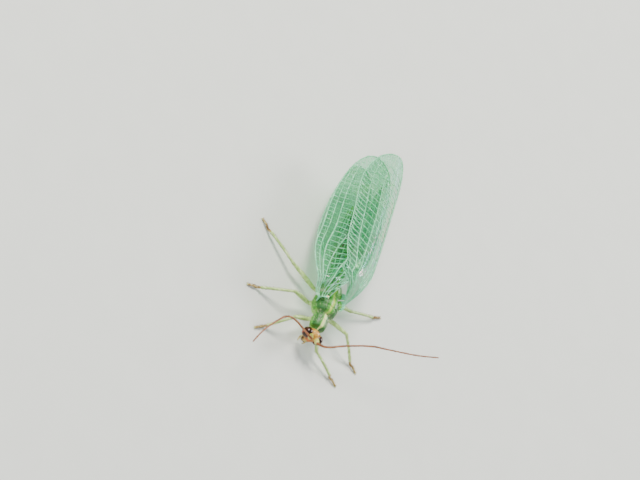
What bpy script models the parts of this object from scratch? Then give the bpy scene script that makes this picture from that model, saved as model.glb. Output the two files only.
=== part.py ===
"""A green lacewing at life size, resting with its wings folded like a roof.

The model is worked out in millimetres in the insect's own frame: the head looks along -Y, +X is the
insect's left and Z is up from the ground it stands on. It is written to Blender in metres, and at the end
all of it is shifted so that the middle of its footprint is at the origin.
"""
import math

import bmesh
import bpy
import numpy as np
from mathutils import Matrix, Vector

MM = 0.001

# Trunk: one tapered tube from neck to tail, parted by thin cuts
SEAM = 0.12             # gap between neighbouring pieces; 0.3 would be a sixth of the head's width
AXIS_HEIGHT = 1.80      # mid line of the mesothorax above the ground
PROTHORAX = (-1.95, -0.85)
MESOTHORAX = (-0.85, 0.75)
METATHORAX = (0.75, 1.75)
ABDOMEN = (1.75, 9.3)
ABDOMEN_SEGMENTS = 8
TRUNK_SIDES = 20
# Bumps that carry the forewings: middle from the trunk's mid line
SHOULDERS = {"right": (-0.80, -0.05, 0.11), "left": (0.88, 0.36, 0.57)}
SHOULDER_RADII = (0.34, 0.32, 0.30)

# Head
HEAD_RADII = (0.56, 0.46, 0.62)
HEAD_DROP = 0.30        # middle of the head below the trunk's mid line at the neck
EYE_RADIUS = 0.36
EYE_OFFSET = (0.50, -0.10, 0.12)
MOUTH_LENGTH = 0.55

# Antennae
ANTENNA_THICKNESS = (0.42, 0.12)
ANTENNA_SPACING = 0.31
ANTENNA_POINTS = 16

# Wings
FOREWING_LENGTH = 13.2
FOREWING_WIDTH = 5.2
HINDWING_LENGTH = 11.0
HINDWING_WIDTH = 3.0
WING_THICKNESS = 0.46
VEIN_RISE = 0.10        # crest of a vein above the membrane's outer face
VEIN_FOOT = 0.13        # half width of its ridge
ROOF_SLOPES = (math.radians(45), math.radians(52))  # of the wings' right and left flanks
ROOF_BEND = 1.3         # half width of the rounded ridge
RIDGE_RISE = 1.22       # hindwings' ridge above the trunk's mid line
RIDGE_FALL = 0.045      # how the ridge sinks towards the tail
RIDGE_DRIFT = 0.03      # how it wanders to the insect's left
# Main veins as fractions of the chord from the hind margin, at the root and at the tip. The last one is
# the radius, and the costa runs along the front margin.
FOREWING_VEINS = ((0.14, 0.18), (0.33, 0.38), (0.55, 0.61), (0.82, 0.88))
HINDWING_VEINS = ((0.24, 0.26), (0.50, 0.56), (0.80, 0.86))
# How far from the ridge each wing's long axis lies, at fractions of its length. The left forewing is on top.
RIGHT_REACH = ((0.0, 1.15), (0.12, 1.90), (0.50, 1.35), (1.0, 0.90))
LEFT_REACH = ((0.0, 1.15), (0.12, 0.75), (0.50, 1.35), (1.0, 0.80))
HIND_REACH = ((0.0, 1.25), (0.40, 1.95))

# Legs
FEMUR_THICKNESS = 0.50
TIBIA_THICKNESS = 0.48
TARSUS_THICKNESS = 0.46
TUBE_LEVEL = 1          # rounding of the legs' and antennae's section

BODY_GREEN = (0.10, 0.33, 0.05)
THORAX_GREEN = (0.08, 0.27, 0.05)
HEAD_YELLOW = (0.42, 0.36, 0.06)
EYE_BRONZE = (0.06, 0.03, 0.02)
MOUTH_BROWN = (0.20, 0.08, 0.03)
ANTENNA_BROWN = (0.33, 0.17, 0.07)
WING_GREEN = (0.42, 0.75, 0.55)
LEG_GREEN = (0.38, 0.55, 0.20)
TARSUS_BROWN = (0.34, 0.26, 0.10)


def clear_scene():
    for obj in list(bpy.data.objects):
        bpy.data.objects.remove(obj, do_unlink=True)


def new_collection(name, hidden=False):
    collection = bpy.data.collections.new(name)
    bpy.context.scene.collection.children.link(collection)
    collection.hide_render = hidden
    return collection


def make_material(name, color, roughness=0.4):
    material = bpy.data.materials.new(name)
    material.use_nodes = True
    shader = material.node_tree.nodes["Principled BSDF"]
    shader.inputs["Base Color"].default_value = (*color, 1.0)
    shader.inputs["Roughness"].default_value = roughness
    shader.inputs["Metallic"].default_value = 0.0
    return material


def mesh_object(name, bm, material, collection):
    """Turns a bmesh in millimetres into an object in metres, its faces pointing out."""
    bmesh.ops.scale(bm, vec=(MM, MM, MM), verts=bm.verts)
    bmesh.ops.recalc_face_normals(bm, faces=bm.faces)
    mesh = bpy.data.meshes.new(name)
    bm.to_mesh(mesh)
    bm.free()
    mesh.materials.append(material)
    mesh.shade_smooth()
    obj = bpy.data.objects.new(name, mesh)
    collection.objects.link(obj)
    return obj


def smoothstep(low, high, value):
    t = np.clip((value - low) / (high - low), 0.0, 1.0)
    return t * t * (3.0 - 2.0 * t)


# Trunk

def trunk_centre(y):
    """The trunk's mid line: level along the thorax, the abdomen sinking and turning to the left a little."""
    tail = max(0.0, y - ABDOMEN[0])
    neck = 0.12 * max(0.0, MESOTHORAX[0] - y)
    return Vector((0.035 * tail, y, AXIS_HEIGHT - 0.08 * tail - neck))


def trunk_radii(y):
    """Half width and half height of the trunk at y."""
    if y < PROTHORAX[1]:
        t = (y - PROTHORAX[0]) / (PROTHORAX[1] - PROTHORAX[0])
        swell = math.sin(math.pi * (0.25 + 0.6 * t))
        return 0.44 + 0.20 * swell, 0.36 + 0.20 * swell
    if y < MESOTHORAX[1]:
        t = (y - MESOTHORAX[0]) / (MESOTHORAX[1] - MESOTHORAX[0])
        swell = math.sin(math.pi * (0.18 + 0.68 * t))
        return 0.52 + 0.48 * swell, 0.50 + 0.42 * swell
    if y < METATHORAX[1]:
        t = (y - METATHORAX[0]) / (METATHORAX[1] - METATHORAX[0])
        swell = math.sin(math.pi * (0.20 + 0.60 * t))
        return 0.50 + 0.36 * swell, 0.48 + 0.32 * swell
    t = (y - ABDOMEN[0]) / (ABDOMEN[1] - ABDOMEN[0])
    swell = 0.55 + 0.16 * math.sin(math.pi * min(1.0, t / 0.9) ** 0.8)
    ring = 1.0 - 0.05 * math.cos(2.0 * math.pi * ABDOMEN_SEGMENTS * t)
    tail = math.sqrt(max(0.0, 1.0 - max(0.0, (t - 0.84) / 0.17) ** 2.4))
    return swell * ring * tail, swell * 1.05 * ring * tail


def trunk_piece(name, span, rings, material, collection):
    """A length of the trunk as a loft of elliptical rings with flat ends."""
    start, end = span[0] + SEAM / 2, span[1] - SEAM / 2
    bm = bmesh.new()
    loops = []
    for i in range(rings):
        y = start + (end - start) * i / (rings - 1)
        centre = trunk_centre(y)
        half_width, half_height = trunk_radii(y)
        loop = []
        for k in range(TRUNK_SIDES):
            angle = 2.0 * math.pi * k / TRUNK_SIDES
            offset = Vector((half_width * math.cos(angle), 0.0, half_height * math.sin(angle)))
            loop.append(bm.verts.new(centre + offset))
        loops.append(loop)
    bm.faces.new(loops[0])
    bm.faces.new(reversed(loops[-1]))
    for first, second in zip(loops, loops[1:]):
        for k in range(TRUNK_SIDES):
            n = (k + 1) % TRUNK_SIDES
            bm.faces.new((first[k], first[n], second[n], second[k]))
    return mesh_object(name, bm, material, collection)


def add_shoulders(thorax, material, cutters):
    """Joins the bumps under the forewings' roots to the mesothorax and applies the union."""
    for name, (x, y, rise) in SHOULDERS.items():
        place = trunk_centre(y) + Vector((x, 0.0, rise))
        bump = ball("shoulder_" + name, place, SHOULDER_RADII, 16, material, cutters)
        bump.display_type = "WIRE"
        bump.hide_render = True
        join = thorax.modifiers.new("shoulder_" + name, "BOOLEAN")
        join.operation = "UNION"
        join.object = bump
    apply_modifiers(thorax)
    thorax.data.shade_smooth()


def make_trunk(collection, cutters):
    thorax = make_material("thorax_green", THORAX_GREEN)
    abdomen = make_material("abdomen_green", BODY_GREEN)
    trunk_piece("prothorax", PROTHORAX, 7, thorax, collection)
    add_shoulders(trunk_piece("mesothorax", MESOTHORAX, 9, thorax, collection), thorax, cutters)
    trunk_piece("metathorax", METATHORAX, 6, thorax, collection)
    trunk_piece("abdomen", ABDOMEN, 4 * ABDOMEN_SEGMENTS + 1, abdomen, collection)


# Head

def head_centre():
    neck = trunk_centre(PROTHORAX[0])
    return Vector((0.0, PROTHORAX[0] - SEAM / 2 - HEAD_RADII[1], neck.z - HEAD_DROP))


def ball(name, centre, radii, segments, material, collection):
    bm = bmesh.new()
    bmesh.ops.create_uvsphere(bm, u_segments=segments, v_segments=segments // 2, radius=1.0)
    bmesh.ops.scale(bm, vec=radii, verts=bm.verts)
    bmesh.ops.translate(bm, vec=centre, verts=bm.verts)
    return mesh_object(name, bm, material, collection)


def apply_modifiers(obj):
    """Keeps the evaluated mesh of an object and drops its modifiers."""
    graph = bpy.context.evaluated_depsgraph_get()
    mesh = bpy.data.meshes.new_from_object(obj.evaluated_get(graph))
    obj.modifiers.clear()
    old = obj.data
    obj.data = mesh
    bpy.data.meshes.remove(old)


def make_head(collection, cutters):
    head_material = make_material("head_yellow_green", HEAD_YELLOW)
    eye_material = make_material("eye_bronze", EYE_BRONZE, 0.12)
    mouth_material = make_material("mouthparts_brown", MOUTH_BROWN)
    centre = head_centre()
    head = ball("head", centre, HEAD_RADII, 24, head_material, collection)
    for side, name in ((-1, "right"), (1, "left")):
        place = centre + Vector((side * EYE_OFFSET[0], EYE_OFFSET[1], EYE_OFFSET[2]))
        eye_radii = (EYE_RADIUS, EYE_RADIUS * 1.05, EYE_RADIUS * 1.12)
        ball("eye_" + name, place, eye_radii, 20, eye_material, collection)
        socket_radii = tuple(r + SEAM / 2 for r in eye_radii)
        socket = ball("socket_" + name, place, socket_radii, 20, eye_material, cutters)
        socket.hide_render = True
        socket.display_type = "WIRE"
        cut = head.modifiers.new("socket_" + name, "BOOLEAN")
        cut.operation = "DIFFERENCE"
        cut.object = socket
    mouth_top = centre.z - HEAD_RADII[2] - SEAM / 2
    bm = bmesh.new()
    bmesh.ops.create_cone(bm, cap_ends=True, segments=12, radius1=0.11, radius2=0.27, depth=MOUTH_LENGTH)
    bmesh.ops.scale(bm, vec=(1.15, 0.85, 1.0), verts=bm.verts)
    bmesh.ops.translate(bm, vec=(0.0, centre.y - 0.06, mouth_top - MOUTH_LENGTH / 2), verts=bm.verts)
    mesh_object("mouthparts", bm, mouth_material, collection)


# Tubes: antennae and legs

def tube(name, points, radii, material, collection, floor=None):
    """A round tube through points, made from a bevelled curve; floor flattens what reaches below it."""
    curve = bpy.data.curves.new(name + "_path", "CURVE")
    curve.dimensions = "3D"
    curve.bevel_depth = MM
    curve.bevel_resolution = TUBE_LEVEL
    curve.use_fill_caps = True
    spline = curve.splines.new("POLY")
    spline.points.add(len(points) - 1)
    for point, place, radius in zip(spline.points, points, radii):
        point.co = (place[0] * MM, place[1] * MM, place[2] * MM, 1.0)
        point.radius = radius
    path = bpy.data.objects.new(name + "_path", curve)
    collection.objects.link(path)
    graph = bpy.context.evaluated_depsgraph_get()
    mesh = bpy.data.meshes.new_from_object(path.evaluated_get(graph))
    mesh.name = name
    bpy.data.objects.remove(path, do_unlink=True)
    bm = bmesh.new()
    bm.from_mesh(mesh)
    bmesh.ops.remove_doubles(bm, verts=bm.verts, dist=1e-6)
    bmesh.ops.scale(bm, vec=(1 / MM, 1 / MM, 1 / MM), verts=bm.verts)
    if floor is not None:
        for vert in bm.verts:
            vert.co.z = max(vert.co.z, floor)
    bpy.data.meshes.remove(mesh)
    return mesh_object(name, bm, material, collection)


def smooth_path(points, count):
    """Points evenly spread on a Catmull-Rom curve through the given ones."""
    p = [Vector(v) for v in points]
    p = [2 * p[0] - p[1]] + p + [2 * p[-1] - p[-2]]
    out = []
    spans = len(p) - 3
    for i in range(count):
        s = min(i / (count - 1) * spans, spans - 1e-9)
        k = int(s)
        t = s - k
        a, b, c, d = p[k:k + 4]
        out.append(0.5 * (2 * b + (c - a) * t + (2 * a - 5 * b + 4 * c - d) * t * t
                          + (3 * b - a - 3 * c + d) * t ** 3))
    return out


def make_antennae(collection):
    material = make_material("antenna_brown", ANTENNA_BROWN)
    base = head_centre()
    routes = {
        "left": [(1.05, -3.02, 2.14), (2.33, -2.05, 2.3), (3.92, -1.1, 2.8), (5.0, -0.67, 3.1),
                 (7.5, 0.4, 3.5), (9.3, 1.4, 3.7)],
        "right": [(-1.25, -3.15, 2.15), (-2.3, -3.05, 2.25), (-3.2, -3.5, 2.5), (-3.9, -4.4, 2.7),
                  (-4.9, -6.0, 3.0), (-5.6, -7.6, 3.2)],
    }
    thick, thin = ANTENNA_THICKNESS
    for name, steps in routes.items():
        side = 1 if name == "left" else -1
        root = base + Vector((side * ANTENNA_SPACING, -HEAD_RADII[1] - 0.5 * SEAM, 0.42))
        first = root + Vector((side * 0.06, -0.20, 0.20))
        points = smooth_path([root, first] + steps, ANTENNA_POINTS)
        along = [i / (ANTENNA_POINTS - 1) for i in range(ANTENNA_POINTS)]
        radii = [0.5 * (thick + (thin - thick) * part ** 0.7) for part in along]
        tube("antenna_" + name, points, radii, material, collection)


# Wings

def wing_margins(length, width, t):
    """Chord positions of the front and hind margins at fraction t of the wing's length."""
    shoulder = 0.32 + 0.68 * float(smoothstep(0.0, 0.36, t))
    front = 0.40 * width * (1 - abs(2 * t - 1) ** 2.6) ** 0.5 * (0.80 + 0.20 * t) * shoulder
    hind = -0.60 * width * (1 - abs(2 * t ** 1.25 - 1) ** 2.2) ** 0.62
    return front, hind


def roof_point(across, y, level):
    """A point of the folded wings, across from the ridge along its own sheet.

    All sheets are parallel to the hindwings' sheet, level 0, whose slope turns smoothly from the right
    flank to the left one over the ridge; its section is summed up from small steps.
    """
    right, left = ROOF_SLOPES
    steps = np.linspace(-5.0, 5.0, 401)
    slopes = (right + left) * smoothstep(-ROOF_BEND, ROOF_BEND, steps) - right
    step = steps[1] - steps[0]
    base = np.interp(across, steps + level * slopes, steps)
    slope = np.interp(base, steps, slopes)
    x = np.interp(base, steps, np.cumsum(np.cos(slopes)) * step) - np.sum(np.cos(slopes[:201])) * step
    z = np.sum(np.sin(slopes[:201])) * step - np.interp(base, steps, np.cumsum(np.sin(slopes)) * step)
    ridge_z = AXIS_HEIGHT + RIDGE_RISE - RIDGE_FALL * y
    return Vector((RIDGE_DRIFT * y + x + level * math.sin(slope), y, ridge_z + z + level * math.cos(slope)))


def chord_rows(veins, t, chord):
    """Chord fractions of the grid's rows and how high each rises: foot, crest and foot of every vein."""
    foot = min(VEIN_FOOT / chord, 0.03)
    rows = [(0.0, 0.0)]
    for root, tip in veins:
        middle = root + (tip - root) * t
        rows += [(middle - foot, 0.0), (middle, 1.0), (middle + foot, 0.0)]
    return rows + [(1.0 - 2.0 * foot, 0.0), (1.0 - foot, 1.0), (1.0, 0.0)]


def wing_level(spec, run):
    """Which sheet the wing lies on, run mm from its root: 0 is the hindwings', and each pitch is one higher."""
    pitch = WING_THICKNESS + VEIN_RISE + SEAM
    level = 0.0
    for start, end in spec["climbs"]:
        level += pitch * float(smoothstep(start, end, run))
    return level


def reach_at(knots, t):
    """The reach at fraction t, which turns smoothly from one knot to the next."""
    reach = knots[0][1]
    for (start, low), (end, high) in zip(knots, knots[1:]):
        reach += (high - low) * float(smoothstep(start, end, t))
    return reach


def make_wing(name, side, spec, material, collection):
    """A closed plate: a grid over the wing's outline laid on the roof, given thickness, its veins raised.

    The grid's rows follow the main veins. Every second column joins the radius and the costa, as the
    crossveins of the front edge do.
    """
    length, width, columns = spec["length"], spec["width"], spec["columns"]
    first, last = 0.02, 0.992
    bm = bmesh.new()
    grid = []
    rises = []
    for i in range(columns + 1):
        t = first + (last - first) * i / columns
        front, hind = wing_margins(length, width, t)
        reach = reach_at(spec["reach"], t)
        level = wing_level(spec, t * length)
        fade = float(smoothstep(0.02, 0.08, t) * (1.0 - smoothstep(0.93, 0.985, t)))
        rows = chord_rows(spec["veins"], t, front - hind)
        costal = (len(rows) - 4, len(rows) - 3)
        line = []
        for j, (part, rise) in enumerate(rows):
            if j in costal and i % 2 and spec["ladder"]:
                rise = 0.8
            chord = hind + (front - hind) * part
            line.append(bm.verts.new(roof_point(side * (reach + chord), spec["start"] + t * length, level)))
            rises.append(rise * fade * VEIN_RISE * MM)
        grid.append(line)
    for near, far in zip(grid, grid[1:]):
        for j in range(len(near) - 1):
            corners = (near[j], far[j], far[j + 1], near[j + 1])
            bm.faces.new(corners if side > 0 else corners[::-1])
    bmesh.ops.triangulate(bm, faces=bm.faces, quad_method="FIXED")
    bmesh.ops.scale(bm, vec=(MM, MM, MM), verts=bm.verts)
    mesh = bpy.data.meshes.new(name)
    bm.to_mesh(mesh)
    bm.free()
    mesh.materials.append(material)
    obj = bpy.data.objects.new(name, mesh)
    collection.objects.link(obj)
    normals = [vert.normal.copy() for vert in mesh.vertices]
    wall = obj.modifiers.new("thickness", "SOLIDIFY")
    wall.thickness = WING_THICKNESS * MM
    wall.offset = 0.0
    wall.use_even_offset = False
    apply_modifiers(obj)
    for vert, normal, rise in zip(obj.data.vertices, normals, rises):
        vert.co += normal * rise
    obj.data.shade_smooth()


def make_wings(collection):
    material = make_material("wing_membrane", WING_GREEN, 0.15)
    fore = dict(length=FOREWING_LENGTH, width=FOREWING_WIDTH, columns=44, veins=FOREWING_VEINS, ladder=True)
    hind = dict(length=HINDWING_LENGTH, width=HINDWING_WIDTH, columns=30, start=1.0, veins=HINDWING_VEINS,
                ladder=False, reach=HIND_REACH, climbs=())
    make_wing("forewing_right", -1, dict(fore, start=-0.5, reach=RIGHT_REACH, climbs=((0.45, 1.5),)),
              material, collection)
    make_wing("forewing_left", 1, dict(fore, start=0.35, reach=LEFT_REACH, climbs=((0.0, 0.65), (0.1, 1.1))),
              material, collection)
    make_wing("hindwing_right", -1, hind, material, collection)
    make_wing("hindwing_left", 1, hind, material, collection)


# Legs

# hip: place along the trunk and how far below its side, in degrees. Knee and ankle are the joints.
LEGS = {
    "fore_left": dict(hip=(-1.3, 55), knee=(1.25, -2.75, 0.72), ankle=(3.2, -3.3, 0.32), toe=(4.1, -3.55)),
    "fore_right": dict(hip=(-1.3, 55), knee=(-1.9, -2.3, 1.6), ankle=(-3.0, -3.4, 0.32), toe=(-3.7, -4.0)),
    "mid_left": dict(hip=(0.1, 60), knee=(2.6, -0.6, 1.6), ankle=(4.5, -1.2, 0.32), toe=(5.4, -1.5)),
    "mid_right": dict(hip=(0.1, 60), knee=(-2.6, -0.6, 1.6), ankle=(-4.5, -1.2, 0.32), toe=(-5.4, -1.5)),
    "hind_left": dict(hip=(1.3, 60), knee=(2.9, 1.9, 0.8), ankle=(5.2, 3.2, 0.32), toe=(6.0, 3.8)),
    "hind_right": dict(hip=(1.3, 60), knee=(-2.9, 1.9, 0.8), ankle=(-5.2, 3.2, 0.32), toe=(-6.0, 3.8)),
}


def bend_gap(incoming, outgoing, radius):
    """How far two tubes of this radius stop short of their joint, so that SEAM stays inside the bend."""
    half = incoming.angle(outgoing) / 2
    return SEAM / 2 / math.cos(half) + radius * math.tan(half)


def make_leg(name, spec, leg, foot, collection):
    side = 1 if name.endswith("left") else -1
    hip_y, below = spec["hip"][0], math.radians(spec["hip"][1])
    half_width, half_height = trunk_radii(hip_y)
    skin = trunk_centre(hip_y) + Vector((side * half_width * math.cos(below), 0.0,
                                         -half_height * math.sin(below)))
    outward = Vector((side * math.cos(below) / half_width, 0.0, -math.sin(below) / half_height)).normalized()
    hip = skin + outward * SEAM
    trochanter = hip + outward * 0.22
    knee = Vector(spec["knee"])
    ankle = Vector(spec["ankle"])
    toe = Vector((spec["toe"][0], spec["toe"][1], TARSUS_THICKNESS / 2 - 0.06))
    thigh, shin, sole = ((end - start).normalized()
                         for start, end in ((trochanter, knee), (knee, ankle), (ankle, toe)))
    r = FEMUR_THICKNESS / 2
    knee_gap = bend_gap(thigh, shin, r)
    femur_end = knee - thigh * knee_gap
    tube("femur_" + name, [hip, trochanter, trochanter.lerp(femur_end, 0.5), femur_end],
         [r * 1.1, r * 1.05, r * 1.05, r], leg, collection)
    ankle_gap = bend_gap(shin, sole, TIBIA_THICKNESS / 2)
    start = knee + shin * knee_gap
    finish = ankle - shin * ankle_gap
    r = TIBIA_THICKNESS / 2
    tube("tibia_" + name, [start, start.lerp(finish, 0.5), finish], [r, r * 0.95, r], leg, collection)
    heel = ankle + sole * ankle_gap
    ball_of_foot = heel.lerp(toe, 0.35)
    ball_of_foot.z = toe.z
    r = TARSUS_THICKNESS / 2
    tube("tarsus_" + name, [heel, ball_of_foot, toe], [r, r, r * 0.85], foot, collection, floor=0.0)


def make_legs(collection):
    leg = make_material("leg_green", LEG_GREEN)
    foot = make_material("tarsus_brown", TARSUS_BROWN)
    for name, spec in LEGS.items():
        make_leg(name, spec, leg, foot, collection)


def centre_on_ground(collection):
    """Shifts all meshes so that the middle of the whole footprint is at the origin, its lowest at zero."""
    bpy.context.view_layer.update()
    graph = bpy.context.evaluated_depsgraph_get()
    low = np.full(3, np.inf)
    high = -low
    for obj in collection.objects:
        mesh = obj.evaluated_get(graph).to_mesh()
        points = np.empty(len(mesh.vertices) * 3)
        mesh.vertices.foreach_get("co", points)
        points = points.reshape(-1, 3)
        low = np.minimum(low, points.min(axis=0))
        high = np.maximum(high, points.max(axis=0))
        obj.evaluated_get(graph).to_mesh_clear()
    shift = Vector((-(low[0] + high[0]) / 2, -(low[1] + high[1]) / 2, -low[2]))
    for obj in bpy.data.objects:
        obj.data.transform(Matrix.Translation(shift))


def main():
    clear_scene()
    parts = new_collection("green_lacewing")
    cutters = new_collection("cutters", hidden=True)
    make_trunk(parts, cutters)
    make_head(parts, cutters)
    make_antennae(parts)
    make_wings(parts)
    make_legs(parts)
    centre_on_ground(parts)


main()
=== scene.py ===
import math

import bmesh
import bpy
import numpy as np
from mathutils import Matrix, Vector


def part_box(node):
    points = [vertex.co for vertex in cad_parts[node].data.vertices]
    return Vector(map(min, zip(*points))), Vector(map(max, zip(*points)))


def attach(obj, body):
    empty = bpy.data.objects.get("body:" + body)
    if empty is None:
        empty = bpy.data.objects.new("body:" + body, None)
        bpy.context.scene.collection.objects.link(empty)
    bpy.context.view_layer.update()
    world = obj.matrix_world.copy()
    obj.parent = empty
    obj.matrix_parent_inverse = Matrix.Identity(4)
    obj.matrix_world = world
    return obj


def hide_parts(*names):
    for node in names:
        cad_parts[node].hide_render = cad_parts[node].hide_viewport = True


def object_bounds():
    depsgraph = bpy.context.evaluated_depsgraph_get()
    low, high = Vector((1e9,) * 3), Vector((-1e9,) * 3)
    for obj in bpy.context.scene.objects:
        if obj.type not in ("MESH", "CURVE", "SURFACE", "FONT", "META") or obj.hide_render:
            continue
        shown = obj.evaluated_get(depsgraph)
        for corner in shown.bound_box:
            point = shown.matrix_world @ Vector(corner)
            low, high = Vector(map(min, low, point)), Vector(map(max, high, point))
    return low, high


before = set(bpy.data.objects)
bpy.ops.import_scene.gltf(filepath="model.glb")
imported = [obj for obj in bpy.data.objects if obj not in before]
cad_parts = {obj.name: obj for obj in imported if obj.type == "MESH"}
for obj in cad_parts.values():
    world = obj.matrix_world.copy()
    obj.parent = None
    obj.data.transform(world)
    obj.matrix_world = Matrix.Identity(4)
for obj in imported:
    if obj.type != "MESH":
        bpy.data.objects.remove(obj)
cadLow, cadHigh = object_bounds()
print("frame loaded")

mm = 0.001
rng = np.random.default_rng(11)

# The insect's own millimetres: head along -Y, +X its left, Z up from the ground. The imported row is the
# same, moved along the ground, and the mesothorax says by how much.
thoraxMiddle = np.array([0.0, -0.05, 0.0])
boxLow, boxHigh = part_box("mesothorax")
rowShift = (np.array(boxLow) + np.array(boxHigh)) / 2 / mm - thoraxMiddle
rowShift[2] = 0.0


def toRow(points):
    # millimetres of the insect to metres of the row
    return (np.asarray(points, float) + rowShift) * mm


def addObject(name, data):
    made = bpy.data.objects.new(name, data)
    bpy.context.scene.collection.objects.link(made)
    return made


# Camera, light and ground

view = dict(azimuth=-38.0, elevation=42.0, roll=68.0, distance=200.0, lens=164.0,
            aimRight=-0.342, aimUp=4.52)


def placeCamera():
    # right, up and back are the camera's axes; roll turns right and up about back
    a, e, r = (math.radians(view[k]) for k in ("azimuth", "elevation", "roll"))
    back = np.array([math.sin(a) * math.cos(e), -math.cos(a) * math.cos(e), math.sin(e)])
    level = np.array([math.cos(a), math.sin(a), 0.0])
    upright = np.cross(back, level)
    right = math.cos(r) * level + math.sin(r) * upright
    up = -math.sin(r) * level + math.cos(r) * upright
    aim = np.array([0.0, -0.05, 1.8]) + view["aimRight"] * right + view["aimUp"] * up
    data = bpy.data.cameras.new("photoCamera")
    data.lens = view["lens"]
    data.sensor_width = 36.0
    data.clip_start = 0.001
    data.clip_end = 10.0
    camera = addObject("photoCamera", data)
    place = toRow(aim + back * view["distance"])
    matrix = Matrix.Identity(4)
    for column, axis in enumerate((right, up, back)):
        for row in range(3):
            matrix[row][column] = axis[row]
    matrix.translation = Vector(place)
    camera.matrix_world = matrix
    bpy.context.scene.camera = camera


placeCamera()


def linearHex(code):
    # sRGB hex to linear light
    parts = [int(code[i:i + 2], 16) / 255 for i in (1, 3, 5)]
    return tuple(p / 12.92 if p <= 0.04045 else ((p + 0.055) / 1.055) ** 2.4 for p in parts) + (1.0,)


def setInputs(node, values):
    for key, value in values.items():
        node.inputs[key].default_value = value


def feed(tree, node, links):
    for key, output in links.items():
        tree.links.new(output, node.inputs[key])


def addNode(tree, kind, settings=None, links=None):
    # one node with its own settings, its inputs' values and what feeds them
    node = tree.nodes.new(kind)
    for key, value in (settings or {}).items():
        if isinstance(key, str) and hasattr(node, key):
            setattr(node, key, value)
        else:
            node.inputs[key].default_value = value
    feed(tree, node, links or {})
    return node


def objectPlace(tree):
    return addNode(tree, "ShaderNodeTexCoord").outputs["Object"]


def noise(tree, place, scale, detail, **more):
    return addNode(tree, "ShaderNodeTexNoise", {"Scale": scale, "Detail": detail, **more}, {"Vector": place})


def ramp(tree, factor, stops):
    # colour ramp through (position, hue) stops in rising order
    node = addNode(tree, "ShaderNodeValToRGB", {}, {"Fac": factor})
    elements = node.color_ramp.elements
    for position, hue in stops[1:-1]:
        elements.new(position)
    for element, (position, hue) in zip(elements, stops):
        element.position = position
        element.color = linearHex(hue)
    return node.outputs["Color"]


def newMaterial(name, values):
    material = bpy.data.materials.new(name)
    material.use_nodes = True
    tree = material.node_tree
    shader = tree.nodes["Principled BSDF"]
    setInputs(shader, values)
    return material, tree, shader


def areaLight(name, place, target, size, watts, colour):
    data = bpy.data.lights.new(name, "AREA")
    data.shape = "DISK"
    data.size = size
    data.energy = watts
    data.color = linearHex(colour)[:3]
    light = addObject(name, data)
    light.location = place
    light.rotation_euler = (Vector(target) - Vector(place)).to_track_quat("-Z", "Y").to_euler()


def makeStudio():
    world = bpy.data.worlds.new("softStudio")
    bpy.context.scene.world = world
    world.use_nodes = True
    setInputs(world.node_tree.nodes["Background"], {"Color": linearHex("#e9eef0"), "Strength": 0.55})
    middle = (0.0, 0.0, 0.002)
    areaLight("keyLight", (-0.12, 0.10, 0.22), middle, 0.12, 1.15, "#fffaf0")
    areaLight("fillLight", (-0.16, -0.20, 0.14), middle, 0.16, 0.40, "#eef6ff")
    areaLight("rimLight", (0.18, 0.12, 0.12), middle, 0.08, 0.55, "#ffffff")
    # pale card, no gloss, faint fibre tone
    material, tree, shader = newMaterial("matt studio paper", {"Roughness": 0.9})
    fibre = noise(tree, objectPlace(tree), 400.0, 3.0)
    tones = {"data_type": "RGBA", 6: linearHex("#d9dcd6"), 7: linearHex("#dfe2dc")}
    tone = addNode(tree, "ShaderNodeMix", tones, {0: fibre.outputs["Fac"]})
    feed(tree, shader, {"Base Color": tone.outputs[2]})
    mesh = bpy.data.meshes.new("studioFloor")
    half = 3.0
    corners = [(-half, -half, 0), (half, -half, 0), (half, half, 0), (-half, half, 0)]
    mesh.from_pydata(corners, [], [(0, 1, 2, 3)])
    mesh.materials.append(material)
    addObject("studioFloor", mesh)


makeStudio()
print("camera and studio ready")


# Mesh helpers, all on whole arrays

def smooth(low, high, value):
    # 3u^2 - 2u^3 between low and high
    u = np.clip((np.asarray(value, float) - low) / (high - low), 0.0, 1.0)
    return u * u * (3.0 - 2.0 * u)


def turns(count):
    # angles evenly round a circle
    return np.arange(count) * 2 * np.pi / count


def bell(value, middle, width):
    # 1 at the middle, 1/e at one width from it
    return np.exp(-((value - middle) / width) ** 2)


def jointBell(phase, width):
    # a bell at every whole number of the phase
    share = phase % 1.0
    return bell(np.minimum(share, 1 - share), 0, width)


def throughKnots(knots, t):
    # the polynomial that passes through all knots (t, value)
    kt, kv = np.array(knots, float).T
    return np.polyval(np.polyfit(kt, kv, len(kt) - 1), t)


def splineThrough(knots, count):
    # Catmull-Rom curve through the knots, evenly spread in its parameter
    p = np.asarray(knots, float)
    p = np.vstack([2 * p[0] - p[1], p, 2 * p[-1] - p[-2]])
    s = np.linspace(0, len(p) - 3 - 1e-9, count)
    k = s.astype(int)
    t = (s - k)[:, None]
    a, b, c, d = p[k], p[k + 1], p[k + 2], p[k + 3]
    square, cube = 2 * a - 5 * b + 4 * c - d, 3 * b - a - 3 * c + d
    return 0.5 * (2 * b + (c - a) * t + square * t ** 2 + cube * t ** 3)


def unit(v):
    return v / np.maximum(np.linalg.norm(v, axis=-1, keepdims=True), 1e-9)


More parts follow.
